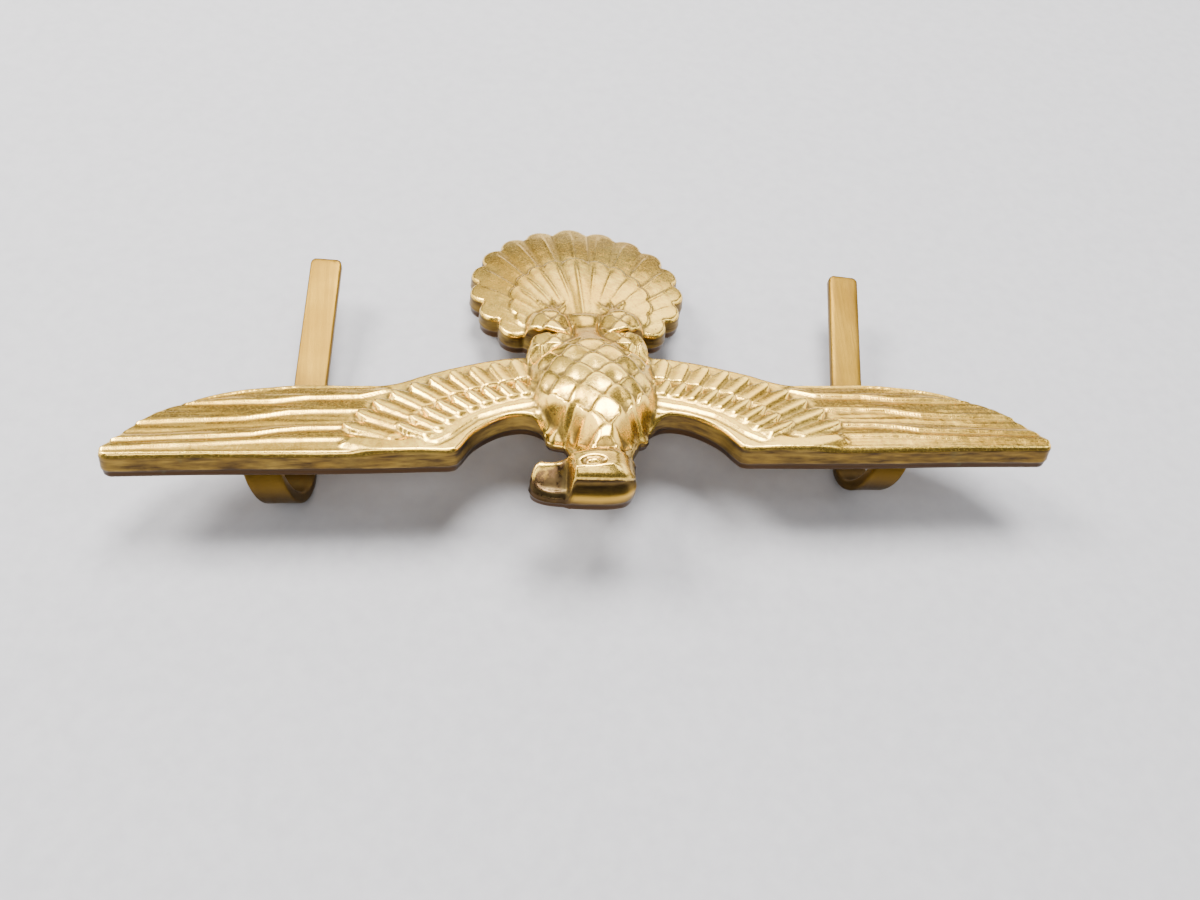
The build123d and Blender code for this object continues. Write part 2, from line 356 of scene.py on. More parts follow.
def arm_and_coverts(ax, y, wing):
    """The raised short feathers in two rows and the smooth arm in front of them."""
    height = feather_row(ax, y, OUTER_TIPS, OUTER_BASES, count=11, low=2.12, round_end=0.34, under=wing)
    arm = signed_distance(ax, y, np.vstack([curve(INNER_BASES[::-1]), ARM_NEAR_SIDE]))
    arm_height = ARM_LEVEL - ARM_FALL * y
    height = np.maximum(height, wing + (arm_height - wing) * smooth(0.55, -0.1, arm))
    height = feather_row(ax, y, INNER_TIPS, INNER_BASES, count=10, low=2.26, round_end=0.48, under=height)
    beside = y - np.interp(ax, *np.array(ARM_GROOVE).T)
    fade = smooth(12.6, 10.8, ax) * smooth(3.6, 4.4, ax)
    return height - fade * (0.13 * ridge(beside, 0.24) + 0.10 * smooth(0.1, -0.5, beside))


# Lists of (y, value): height of the body's middle, half its width, height of its sides, and the neck's shift
BODY_CENTRE_Z = [(-3.0, 3.1), (-1.0, 3.25), (0.0, 3.4), (2.0, 3.75), (4.0, 4.05), (6.0, 4.12), (8.0, 4.05),
                 (10.0, 3.8), (11.5, 3.4), (13.0, 2.95), (14.4, 2.95), (15.2, 2.7)]
BODY_HALF_WIDTH = [(-3.0, 2.2), (-1.0, 2.2), (0.0, 2.35), (1.2, 2.6), (2.4, 2.95), (3.6, 3.55), (5.0, 4.35),
                   (7.0, 4.65), (8.4, 4.6), (9.4, 4.1), (10.4, 2.9), (11.4, 1.5), (12.4, 1.05), (13.4, 0.95),
                   (14.3, 1.2), (15.2, 1.4)]
BODY_SIDE_Z = [(-3.0, 2.3), (0.0, 2.3), (2.0, 2.2), (4.0, 2.0), (8.0, 1.9), (10.5, 2.6), (13.0, 2.6),
               (15.2, 2.5)]
NECK_SHIFT = [(-3.0, -0.3), (-1.0, 0.0), (0.5, 0.2), (1.8, 0.45), (3.2, 0.35), (5.0, 0.0)]
SCALE_PITCH = 1.22       # from row to row
SCALE_WIDTH = 2.35
SCALE_LENGTH = 1.75
SCALE_MIDDLE = 0.75      # level of breast_scales() that leaves the body's own height unchanged
BREAST_SCALE_HEIGHT = 0.34
TUFT_HEIGHT = 0.22
EYE_PLACE = (-1.05, -2.52)
EYE_HALF_SIZE = (0.62, 0.30)
FLAKE = ((-2.75, -0.62), (-2.0, -0.12))   # a lifted flake of gilding at the root of the beak
FLAKE_LEVEL = 3.35
THIGH = ((2.45, 8.6), (2.75, 14.1))
ANKLE = (2.2, 15.0)
TOE_ENDS = [(1.1, 16.9), (2.2, 17.3), (3.3, 16.8)]


def along_body(points, y):
    """The value at y of a smooth curve through pairs of y and value."""
    at, value = curve(points, 5).T
    return np.interp(y, at, value)


def breast_scales(across, y):
    """Overlapping feathers, each rising from under its neighbour to 1 at its tip, on the tail's side."""
    height = np.zeros_like(y)
    for row in range(12, -3, -1):
        column = across / SCALE_WIDTH - 0.5 * (row % 2)
        aside = 2.0 * (column - np.round(column))
        tip = row * SCALE_PITCH + 1.30 - 1.25 * np.abs(aside) ** 1.55
        inside = smooth(0.07, -0.05, y - tip)
        back = unit((tip - y) / SCALE_LENGTH)
        dip_at_tip = 0.12 * ridge(y - tip + 0.05, 0.16)
        value = (1.0 - back**1.6) * (1.0 - 0.14 * aside * aside) - dip_at_tip
        height = height + (value - height) * inside
    return height


def body(x, y):
    """Neck, breast and belly, ending in a smooth point between the thighs."""
    centre = along_body(BODY_CENTRE_Z, y)
    side = along_body(BODY_SIDE_Z, y)
    half = np.maximum(along_body(BODY_HALF_WIDTH, y), 0.05)
    shifted = x - along_body(NECK_SHIFT, y)
    share = unit(np.abs(shifted) / half)
    round_sides = positive(1.0 - share**2.2) ** 0.72
    sloping_sides = 1.0 - share**2.0
    dome = side + (centre - side) * (sloping_sides + (round_sides - sloping_sides) * smooth(1.0, 4.5, y))
    across = half * np.arcsin(np.clip(shifted / half, -1.0, 1.0)) * 0.9
    strength = smooth(-1.3, 0.2, y) * smooth(11.3, 10.2, y) * smooth(1.0, 0.75, share)
    dome = dome + BREAST_SCALE_HEIGHT * strength * (breast_scales(across, y) - SCALE_MIDDLE)
    return np.where((share < 1.0) & (y < 15.1) & (y > -3.0), dome, UNDER)


def soft_maximum(a, b, blend):
    """The higher of two surfaces, with a fillet in the crease between them."""
    overlap = positive(blend - np.abs(a - b))
    return np.maximum(a, b) + overlap**2 / (4.0 * blend)


def capsule(x, y, start, end, radius_start, radius_end):
    """Height over its own axis of a round bar lying in the plane, tapering from start to end."""
    dx, dy = end[0] - start[0], end[1] - start[1]
    share = unit(((x - start[0]) * dx + (y - start[1]) * dy) / (dx * dx + dy * dy))
    radius = radius_start + (radius_end - radius_start) * share
    away = np.hypot(x - start[0] - dx * share, y - start[1] - dy * share)
    return np.where(away < radius, np.sqrt(positive(radius**2 - away**2)), UNDER)


def head(x, y):
    """Skull, eye and beak; the face is turned towards -X."""
    skull_edge = signed_distance(x, y, closed_curve(SKULL))
    front_fall = 0.95 * positive(-2.75 - y) ** 1.8
    side_fall = (0.25 + 1.1 * smooth(-0.6, -1.6, y)) * unit((x - 0.3) / 1.7) ** 2.2
    crown = 3.78 - 0.07 * (x + 0.6) ** 2 + 0.06 * (y + 2.0) - front_fall - side_fall
    brow_y = -3.02 + 0.05 * (x + 1.2) ** 2
    brow = ridge(y - brow_y, 0.10) * smooth(-2.6, -2.3, x) * smooth(0.7, 0.2, x)
    eye_x = (x - EYE_PLACE[0]) / EYE_HALF_SIZE[0]
    eye_y = (y - EYE_PLACE[1]) / EYE_HALF_SIZE[1]
    eye_at = np.sqrt(eye_x**2 + eye_y**2)
    socket = ridge(eye_at - 1.0, 0.30)
    lid = ridge(eye_at - 1.62, 0.26) * smooth(-0.4, 0.6, eye_y)
    crown = crown + 0.10 * brow - 0.19 * socket + 0.09 * ridge(eye_at, 0.6) + 0.02 * lid

    beak_edge = signed_distance(x, y, closed_curve(BEAK))
    beak = 3.25 - 0.80 * positive(-0.5 - y) - 0.16 * positive(-3.4 - x) ** 2
    dish = ridge(x + 3.75, 0.8) * ridge(y + 2.35, 0.8)
    rim = ridge(beak_edge + 0.30, 0.13) * smooth(-0.9, -1.6, y)
    root = ridge(x + 2.75, 0.35) * ridge(y + 1.45, 0.7)
    beak = beak - 0.32 * dish + 0.10 * rim + 0.30 * root
    seam_x = x + 2.5 + 0.25 * smooth(-2.2, -0.8, y)
    joined = beak + (crown - beak) * smooth(-0.25, 0.3, seam_x)
    face = np.where((beak_edge < 0.3) | (skull_edge < 0.3), joined, UNDER)
    flake = capsule(x, y, *FLAKE, 0.2, 0.1)
    return np.maximum(face, np.where(flake > 0, flake + FLAKE_LEVEL, UNDER))


def legs_and_feet(x, y, tail):
    """Feathered thighs that end in small folded feet on the root of the tail."""
    ax = np.abs(x)
    thigh = capsule(ax, y, *THIGH, 2.1, 1.75)
    tufts = breast_scales(1.3 * (ax - 2.6) + 0.5 * SCALE_WIDTH, 1.1 * (y - 4.6))
    thigh = np.where(thigh > 0, 0.6 * thigh + 2.15 + TUFT_HEIGHT * (tufts - SCALE_MIDDLE), UNDER)
    height = soft_maximum(tail, thigh, 0.35)
    for toe_x, toe_y in TOE_ENDS:
        claw_end = (toe_x + 0.08 * (toe_x - ANKLE[0]), toe_y + 0.25)
        toe = capsule(ax, y, ANKLE, (toe_x, toe_y), 0.42, 0.22)
        claw = capsule(ax, y, (toe_x, toe_y), claw_end, 0.22, 0.15)
        lift = 2.42 - 0.04 * (y - ANKLE[1])
        height = soft_maximum(height, np.where(toe > 0, toe + lift, UNDER), 0.12)
        height = soft_maximum(height, np.where(claw > 0, claw + lift + 0.03, UNDER), 0.08)
    return height


def tail_row(x, y, indices, reach, width_share, lift, under):
    """Feathers of the fan from the outside in, so that the middle one lies on top."""
    lobes = tail_lobes()
    middle = (TAIL_FEATHERS - 1) / 2
    root = np.array(TAIL_ROOT)
    height = under
    for k in sorted(indices, key=lambda i: -abs(i - middle)):
        dx, dy = (lobes[k] - root) * reach
        length = math.hypot(dx, dy)
        along = ((x - root[0]) * dx + (y - root[1]) * dy) / length
        aside = ((x - root[0]) * dy - (y - root[1]) * dx) / length
        width = TAIL_LOBE * (0.35 + 0.65 * unit(along / length)) * width_share
        beyond = positive(along - length)
        inside = smooth(-0.03, 0.09, width - np.hypot(aside, beyond)) * (along > -0.5)
        u = np.clip(aside / width, -1.0, 1.0)
        side = np.sign(middle - k)
        tilt = 0.5 + 0.5 * u * side if side else 1.0
        shaft = ridge(aside, 0.11) * smooth(length + 0.9, length - 0.6, along)
        value = lift + 0.20 * tilt + 0.12 * (1.0 - u * u) + 0.07 * shaft
        height = height + (value - height) * inside
    return height


def tail(x, y):
    """A low dome covered by a full row of long feathers and a shorter row over their roots."""
    away = np.hypot(x - TAIL_CENTRE[0], y - TAIL_CENTRE[1])
    dome = 2.35 - 0.85 * (away / 8.8) ** 2
    bare = np.full_like(x, -0.12)
    long_row = tail_row(x, y, range(TAIL_FEATHERS), reach=1.0, width_share=1.0, lift=0.0, under=bare)
    inner = range(1, TAIL_FEATHERS - 1)
    feathers = tail_row(x, y, inner, reach=0.62, width_share=0.8, lift=0.14, under=long_row)
    return np.where(away < 9.2, dome + feathers, UNDER)


def relief(x, y):
    """Height of the decorated face before its edges are rounded."""
    ax = np.abs(x)
    wing = arm_and_coverts(ax, y, flight_feathers(ax, y))
    wing = np.where(y < 12.2, wing, UNDER)
    far_part = np.where(y > 10.4, legs_and_feet(x, y, tail(x, y)), UNDER)
    height = soft_maximum(soft_maximum(wing, far_part, 0.3), body(x, y), 0.3)
    face = head(x, y)
    neck = smooth(-1.9, -0.2, y)
    into_neck = face + (np.maximum(height, 2.0) - face) * neck
    return np.where((face > 0) & (neck < 1), into_neck, height)


def waves(x, y, size, turn_start):
    """Smooth unevenness from -1 to 1 with bumps of about the given size, made of six crossing waves."""
    total = np.zeros_like(x)
    for k in range(6):
        turn = turn_start + 2.4 * k
        rate = 2 * math.pi / (size * (0.7 + 0.23 * k))
        total += np.sin((x * math.cos(turn) + y * math.sin(turn)) * rate + 1.7 * turn)
    return total / 6.0


def edge_drop(inset):
    """How far the rounded edge lies below the relief at a distance in from the outline."""
    reach = np.clip(inset - TOP_INSET, 0.0, EDGE_ROUND)
    return EDGE_ROUND - np.sqrt(EDGE_ROUND**2 - (EDGE_ROUND - reach) ** 2)


def neck_slope(inset, x, y):
    """The throat falls away to the outline in a long slope instead of an upright wall."""
    throat = smooth(4.6, 3.2, y) * smooth(-1.5, -0.5, y) * smooth(5.0, 3.6, np.abs(x - 0.2))
    return 1.45 * throat * unit(1.0 - (inset - TOP_INSET) / 1.7) ** 1.4


def face_height(field, x, y):
    """Height of the decorated face with its rounded edge and slight unevenness."""
    inset = -field.at(x, y)
    uneven = 0.012 * waves(x, y, 1.7, 0.3) + 0.006 * waves(x, y, 0.6, 4.1)
    height = relief(x, y) - edge_drop(inset) - neck_slope(inset, x, y) + uneven
    return np.maximum(height, LOWEST_TOP)


# How large the hollow behind the body is along its length, as (y, share)
BODY_HOLLOW = [(-0.8, 0.58), (2.0, 0.76), (5.0, 0.96), (8.5, 1.0), (12.5, 0.92), (14.5, 0.8)]


def back_height(field, x, y):
    """The hollow seen from behind: even under wings and tail, deeper behind the body, none in the head."""
    inset = -field.at(x, y)
    radius = 5.0 * np.interp(y, *np.array(BODY_HOLLOW).T) - 1.25
    hollow = -0.7 + np.sqrt(positive(radius**2 - x**2))
    ceiling = np.full_like(x, CAVITY_DEPTH)
    ceiling = np.maximum(ceiling, np.where((y > 0.0) & (y < 13.8), hollow, 0.0))
    past_rim = inset - RIM_WIDTH
    steep = 0.85 * smooth(0.0, 0.17, past_rim) + 0.15 * smooth(0.0, 0.45, past_rim)
    depth = ceiling * steep * (1.0 - smooth(0.9, 0.2, y))
    return depth + 0.02 * waves(x, y, 2.3, 1.9) * smooth(0.0, 0.5, past_rim)


# ---------------------------------------------------------------- the shell's mesh
# Grids of points, each as x range, y range, x step and y step
FACE_GRIDS = [
    ((-17.0, 17.0), (-4.4, 29.0), 0.122, 0.108),
    ((-33.0, -17.0), (0.0, 8.0), 0.17, 0.078),
    ((17.0, 33.0), (0.0, 8.0), 0.17, 0.078),
]
BACK_GRIDS = [((-33.0, 33.0), (-4.4, 29.0), 0.36, 0.34)]
BACK_INSETS = (0.21, 0.30, RIM_WIDTH, RIM_WIDTH + 0.06, RIM_WIDTH + 0.12, RIM_WIDTH + 0.2, RIM_WIDTH + 0.45)
BACK_EDGE_STEP = 0.22
BESIDE_HEIGHT = 1.5      # taken beside the badge where the relief is blurred
# The attribute "recess" goes from -1, proud, to 1, deep, on the decorated face. Elsewhere it has these values
ON_WALL = 2.0
ON_SHEAR = 3.0
ON_BACK = 4.0


def fill_plan(loops, interior):
    """Triangles inside the first loops, through every loop and interior point: plan points and faces."""
    verts = [Vector(p) for loop in loops for p in loop] + [Vector(p) for p in interior]
    edges = []
    start = 0
    for loop in loops:
        size = len(loop)
        edges += [(start + k, start + (k + 1) % size) for k in range(size)]
        start += size
    points, _, faces, *_ = delaunay_2d_cdt(verts, edges, [], 1, 1e-6)
    return np.array([(p.x, p.y) for p in points]), faces


def grid_points(x_range, y_range, step_x, step_y):
    """A regular grid with every other row moved by half a step."""
    xs = np.arange(*x_range, step_x)
    ys = np.arange(*y_range, step_y)
    x, y = np.meshgrid(xs, ys)
    x = x + np.where(np.arange(len(ys)) % 2, 0.5 * step_x, 0.0)[:, None]
    return x.ravel(), y.ravel()


def points_inside(field, depth, grids):
    """The points of some grids that are more than a depth inside the outline."""
    x, y = np.concatenate([grid_points(*grid) for grid in grids], axis=1)
    keep = field.at(x, y) < -depth
    return np.stack([x[keep], y[keep]], axis=1)


def mesh_object(name, points, faces):
    """A smooth-shaded mesh object from points in millimetres."""
    mesh = bpy.data.meshes.new(name)
    mesh.from_pydata((np.asarray(points) * MM).tolist(), [], faces)
    mesh.validate()
    mesh.polygons.foreach_set("use_smooth", [True] * len(mesh.polygons))
    obj = bpy.data.objects.new(name, mesh)
    bpy.context.scene.collection.objects.link(obj)
    return obj


def turn_outwards(obj, join_distance=0.0):
    """Turns every face outwards, after joining points nearer to each other than the join distance."""
    bm = bmesh.new()
    bm.from_mesh(obj.data)
    if join_distance:
        bmesh.ops.remove_doubles(bm, verts=bm.verts, dist=join_distance)
    bmesh.ops.recalc_face_normals(bm, faces=bm.faces)
    bm.to_mesh(obj.data)
    bm.free()


def band(above, below, size):
    """Faces between two rings of points, each ring given by the number of its first point."""
    return [(above + k, above + (k + 1) % size, below + (k + 1) % size, below + k) for k in range(size)]


def box_blur(values, half, times):
    """Each value becomes the mean of the square of values round it, the given number of times."""
    for _ in range(times):
        for axis in (0, 1):
            pad = [(half, half) if k == axis else (0, 0) for k in (0, 1)]
            padded = np.pad(values, pad, mode="edge")
            windows = np.lib.stride_tricks.sliding_window_view(padded, 2 * half + 1, axis=axis)
            values = windows.mean(axis=-1)
    return values


class ShellParts:
    """Points and faces of the shell, with how recessed each point is and how much painted highlight it gets
    on the head's lip.
    """

    def __init__(self):
        self.points, self.recess, self.worn, self.faces = [], [], [], []
        self.count = 0

    def add(self, points, recess, worn):
        """Adds points and gives the number of the first of them."""
        first = self.count
        self.points.append(points)
        self.recess.append(recess)
        self.worn.append(worn)
        self.count += len(points)
        return first


def add_decorated_face(parts, field, edge_loops, blurred, creased):
    """The face inside its top edge, with the finest grid where the relief is finest."""
    rounding = []
    for inset in (TOP_INSET + 0.05, TOP_INSET + 0.13, TOP_INSET + EDGE_ROUND):
        rounding += field.loops(-inset, EDGE_STEP)
    interior = points_inside(field, TOP_INSET + EDGE_ROUND + 0.07, FACE_GRIDS)
    plan, triangles = fill_plan(edge_loops + rounding, interior)
    x, y = plan.T
    level = relief(x, y)
    crease = unit((creased.at(x, y) - level) / 0.05)
    recess = np.clip((blurred.at(x, y) - level) / 0.12 + 0.6 * crease, -1.0, 1.0)
    parts.add(np.column_stack([x, y, face_height(field, x, y)]), recess, np.zeros(len(x)))
    parts.faces += [tuple(triangle) for triangle in triangles]


def add_wall(parts, field, loop):
    """The wall below one loop of the top edge, and the band below that. Gives the plan of its foot."""
    x, y = loop.T
    out_x, out_y = field.outward(x, y)
    top = face_height(field, x, y)
    shear = SHEAR_TOP + 0.07 * waves(x, y, 9.0, 2.2) + 0.03 * waves(x, y, 2.1, 0.7)
    shear = np.minimum(shear, 0.55 * top)
    on_head = smooth(-1.0, -2.4, y) * smooth(-2.6, -2.2, x) * smooth(2.4, 1.7, x)
    rings = []
    for share, inset in WALL_PROFILE:
        z = shear + (top - shear) * share
        groove = on_head * (0.36 * ridge(z - 2.2, 0.48) - 0.08 * ridge(z - 1.25, 0.2))
        rough = 0.014 * waves(x + z, y + 2 * z, 0.9, 5.0)
        rings.append((z, np.maximum(inset + groove + rough, -0.02)))
    for share, inset in SHEAR_PROFILE:
        rings.append((shear * share, np.full_like(x, inset)))
    size = len(loop)
    above = parts.add(np.column_stack([x, y, top]), np.zeros(size), np.zeros(size))
    for z, inset in rings:
        move = TOP_INSET - inset
        ring = np.column_stack([x + out_x * move, y + out_y * move, z])
        mark = np.where(z < 0.01, ON_BACK, np.where(z < shear * 0.99, ON_SHEAR, ON_WALL))
        # A painted highlight on a band of the head's wall, its lip, stored with the points
        below = parts.add(ring, mark, on_head * ridge(z - 1.2, 0.28))
        parts.faces += band(above, below, size)
        above = below
    return ring[:, :2]


def add_back(parts, field, feet):
    """The rim and the hollow, inside the feet of the walls."""
    inner = []
    for inset in BACK_INSETS:
        inner += field.loops(-inset, BACK_EDGE_STEP)
    plan, triangles = fill_plan(feet + inner, points_inside(field, RIM_WIDTH + 0.6, BACK_GRIDS))
    x, y = plan.T
    points = np.column_stack([x, y, back_height(field, x, y)])
    first = parts.add(points, np.full(len(x), ON_BACK), np.zeros(len(x)))
    parts.faces += [(first + a, first + c, first + b) for a, b, c in triangles]


def struck_shell():
    """The whole struck piece as one closed mesh, with attributes for its patina, painted shade and painted
    highlight stored on its points.
    """
    xs = np.arange(-34.0, 34.01, GRID_STEP)
    ys = np.arange(-5.4, 30.01, GRID_STEP)
    x, y = np.meshgrid(xs, ys)
    distance = outline_field(x, y)
    field = Raster(distance, xs, ys)
    heights = np.where(distance < 0, relief(x, y), BESIDE_HEIGHT)
    blurred = Raster(box_blur(heights, 3, 2), xs, ys)
    creased = Raster(box_blur(heights, 1, 2), xs, ys)

    parts = ShellParts()
    edge_loops = field.loops(-TOP_INSET, EDGE_STEP)
    add_decorated_face(parts, field, edge_loops, blurred, creased)
    feet = [add_wall(parts, field, loop) for loop in edge_loops]
    add_back(parts, field, feet)

    points = np.vstack(parts.points)
    shell = mesh_object("struck_shell", points, parts.faces)
    x, y = points[:, 0], points[:, 1]
    # Painted shade on the head and beak, strongest on the beak, stored for the material
    on_head = 0.6 * smooth(0.6, -1.2, y)
    on_beak = 0.95 * smooth(-0.9, -1.7, y) * smooth(-2.5, -3.0, x)
    stored = {
        "recess": np.concatenate(parts.recess),
        "worn": np.concatenate(parts.worn),
        "head_shade": on_head + on_beak,
    }
    for name, values in stored.items():
        attribute = shell.data.attributes.new(name, "FLOAT", "POINT")
        attribute.data.foreach_set("value", values.astype(np.float32))
    turn_outwards(shell, JOIN_DISTANCE)
    return shell


# ---------------------------------------------------------------- prongs and solder
STRIP_WIDTH = 2.4
STRIP_THICKNESS = 0.8
FOOT_LENGTH = 2.1
RIM_CLEARANCE = 0.25
RIM_THICKNESS = 0.65
LEG_RISE = math.radians(23.5)
TIP_CORNER = 0.35
STRIP_CORNER = 0.16      # rounding of the strip's long edges
CORNER_POINTS = 4
SIDE_STEP = 0.2          # between points along the strip's straight sides
STRIP_DENT = 0.005
LEG_STEP = 0.45
BEND_STEPS = 44
BEND_TUCK = 0.016        # share of the bend that runs on inside the foot, and inside the leg
TUCKED_SHRINK = 0.02     # how much smaller the strip is there
# Distance from the foot's joint and how much smaller the strip is
FOOT_STATIONS = [(FOOT_LENGTH, 0.12), (FOOT_LENGTH - 0.06, 0.04), (FOOT_LENGTH - 0.2, 0.0), (1.4, 0.0),
                 (0.7, 0.0), (0.0, 0.0)]
# Distance from the leg's end, how much narrower the strip is and how much thinner
TIP_STATIONS = [(0.22, 0.12, 0.02), (0.10, 0.32, 0.06), (0.02, 0.52, 0.16), (0.0, 0.66, 0.3)]
# Share of the collar's spread and height above the floor of the hollow
SOLDER_PROFILE = [(1.0, 0.0), (0.93, 0.035), (0.82, 0.10), (0.7, 0.20), (0.6, 0.30), (0.52, 0.37),
                  (0.4, 0.40)]
SOLDER_POINTS = 72
# Places and lengths in millimetres, headings in degrees off square
PRONGS = {
    "left": {"foot_x": -23.5, "leg_x": -21.2, "radius": 2.8, "heading": 4.0, "leg": 18.3},
    "right": {"foot_x": 22.2, "leg_x": 20.1, "radius": 2.4, "heading": 7.0, "leg": 17.0},
}


def bend_centre(side):
    """Height and depth of the axis that the prong is bent round."""
    radius = PRONGS[side]["radius"]
    y = RIM_THICKNESS + RIM_CLEARANCE + radius + STRIP_THICKNESS / 2
    z = CAVITY_DEPTH - STRIP_THICKNESS / 2 - radius
    return y, z


def strip_frame(side, share):
    """Centre of the strip at a share of its bend, and its directions across, through and along."""
    dims = PRONGS[side]
    radius = dims["radius"]
    centre_y, centre_z = bend_centre(side)
    turn = math.pi + LEG_RISE
    angle = share * turn
    drift = dims["leg_x"] - dims["foot_x"]
    end_slope = math.tan(math.radians(dims["heading"])) * radius * turn
    x = dims["foot_x"] + drift * (3 * share**2 - 2 * share**3) + end_slope * (share**3 - share**2)
    slope = (drift * 6 * (share - share**2) + end_slope * (3 * share**2 - 2 * share)) / (radius * turn)
    origin = Vector((x, centre_y - radius * math.sin(angle), centre_z + radius * math.cos(angle)))
    around = Vector((0, -math.cos(angle), -math.sin(angle)))
    along = (around + Vector((slope, 0, 0))).normalized()
    across = (Vector((1, 0, 0)) - around * slope).normalized()
    return origin, across, along.cross(across), along


def strip_section(width, thickness):
    """Rounded rectangular section of the strip, as pairs across and through."""
    corner = min(STRIP_CORNER, 0.45 * thickness, 0.45 * width)
    points = []
    for cx, cy, start in ((1, 1, 0), (-1, 1, 90), (-1, -1, 180), (1, -1, 270)):
        for k in range(CORNER_POINTS):
            turn = math.radians(start + 90 * k / (CORNER_POINTS - 1))
            points.append((cx * (width / 2 - corner) + corner * math.cos(turn),
                           cy * (thickness / 2 - corner) + corner * math.sin(turn)))
    sides = []
    for k, (ax, ay) in enumerate(points):
        bx, by = points[(k + 1) % len(points)]
        steps = max(1, round(math.hypot(bx - ax, by - ay) / SIDE_STEP))
        sides += [(ax + (bx - ax) * j / steps, ay + (by - ay) * j / steps) for j in range(steps)]
    return sides


def sweep(name, stations):
    """A closed strip through stations: (centre, across, through, how much narrower, how much thinner)."""
    points = []
    for centre, across, through, narrower, thinner in stations:
        for u, v in strip_section(STRIP_WIDTH - narrower, STRIP_THICKNESS - thinner):
            point = centre + across * u + through * v
            wobble = waves(np.array([point.x * 1.3 + point.z]), np.array([point.y + point.z * 0.7]), 1.9, 0.8)
            points.append(point + (across * u + through * v).normalized() * STRIP_DENT * float(wobble[0]))
    # The leg's tip rings have fewer points than this, so its faces run askew and its last points are unused
    size = len(points) // len(stations)
    last = (len(stations) - 1) * size
    faces = []
    for start in range(0, last, size):
        faces += band(start, start + size, size)
    faces.append(tuple(range(size))[::-1])
    faces.append(tuple(range(last, last + size)))
    obj = mesh_object(name, [tuple(point) for point in points], faces)
    for cap in obj.data.polygons[-2:]:
        cap.use_smooth = False
    turn_outwards(obj)
    return obj


def prong_foot(side):
    """The straight end of the strip that is soldered to the back, with its cut end slightly rounded."""
    origin, across, through, along = strip_frame(side, 0.0)
    stations = []
    for away, shrink in FOOT_STATIONS:
        stations.append((origin - along * away, across, through, shrink, shrink))
    return sweep(f"{side}_foot_strip", stations)


def prong_bend(side):
    """The round bend; it runs a little into the foot and the leg so that no gap opens when it is bent."""
    stations = []
    for k in range(BEND_STEPS + 1):
        share = k / BEND_STEPS * (1 + 2 * BEND_TUCK) - BEND_TUCK
        origin, across, through, _ = strip_frame(side, share)
        inside = share < -0.2 * BEND_TUCK or share > 1 + 0.2 * BEND_TUCK
        shrink = TUCKED_SHRINK if inside else 0.0
        stations.append((origin, across, through, shrink, shrink))
    return sweep(f"{side}_bend_strip", stations)


def prong_leg(side):
    """The straight leg; its tip is cut square and its corners are knocked off."""
    origin, across, through, along = strip_frame(side, 1.0)
    length = PRONGS[side]["leg"]
    steps = int(length / LEG_STEP)
    stations = []
    for k in range(steps + 1):
        away = (length - TIP_CORNER - 0.1) * k / steps
        stations.append((origin + along * away, across, through, 0.0, 0.0))
    for from_end, narrower, thinner in TIP_STATIONS:
        stations.append((origin + along * (length - from_end), across, through, narrower, thinner))
    return sweep(f"{side}_leg_strip", stations)


def solder_collar(side):
    """Solder that has run round the foot and wetted the floor of the hollow."""
    centre_y, _ = bend_centre(side)
    x0 = PRONGS[side]["foot_x"]
    y0 = centre_y + FOOT_LENGTH / 2 + 0.1
    points = []
    for share, height in SOLDER_PROFILE:
        for k in range(SOLDER_POINTS):
            turn = 2 * math.pi * k / SOLDER_POINTS
            square_x = math.copysign(abs(math.cos(turn)) ** 0.6, math.cos(turn))
            square_y = math.copysign(abs(math.sin(turn)) ** 0.6, math.sin(turn))
            wobble = 1.0 + 0.05 * math.sin(3 * turn + x0) + 0.03 * math.sin(7 * turn + 2 * x0)
            half_x = (STRIP_WIDTH / 2 - 0.2) + 0.48 * share * wobble
            half_y = (FOOT_LENGTH / 2 - 0.25) + 0.42 * share * wobble
            lump = 0.03 * math.sin(5 * turn + 9 * share) * (share < 1)
            points.append((x0 + half_x * square_x, y0 + half_y * square_y, CAVITY_DEPTH - height - lump))
    last = len(points) - SOLDER_POINTS
    faces = []
    for start in range(0, last, SOLDER_POINTS):
        faces += band(start, start + SOLDER_POINTS, SOLDER_POINTS)
    faces.append(tuple(range(SOLDER_POINTS)))
    faces.append(tuple(range(last, len(points)))[::-1])
    obj = mesh_object(f"{side}_solder_run", points, faces)
    turn_outwards(obj)
    return obj


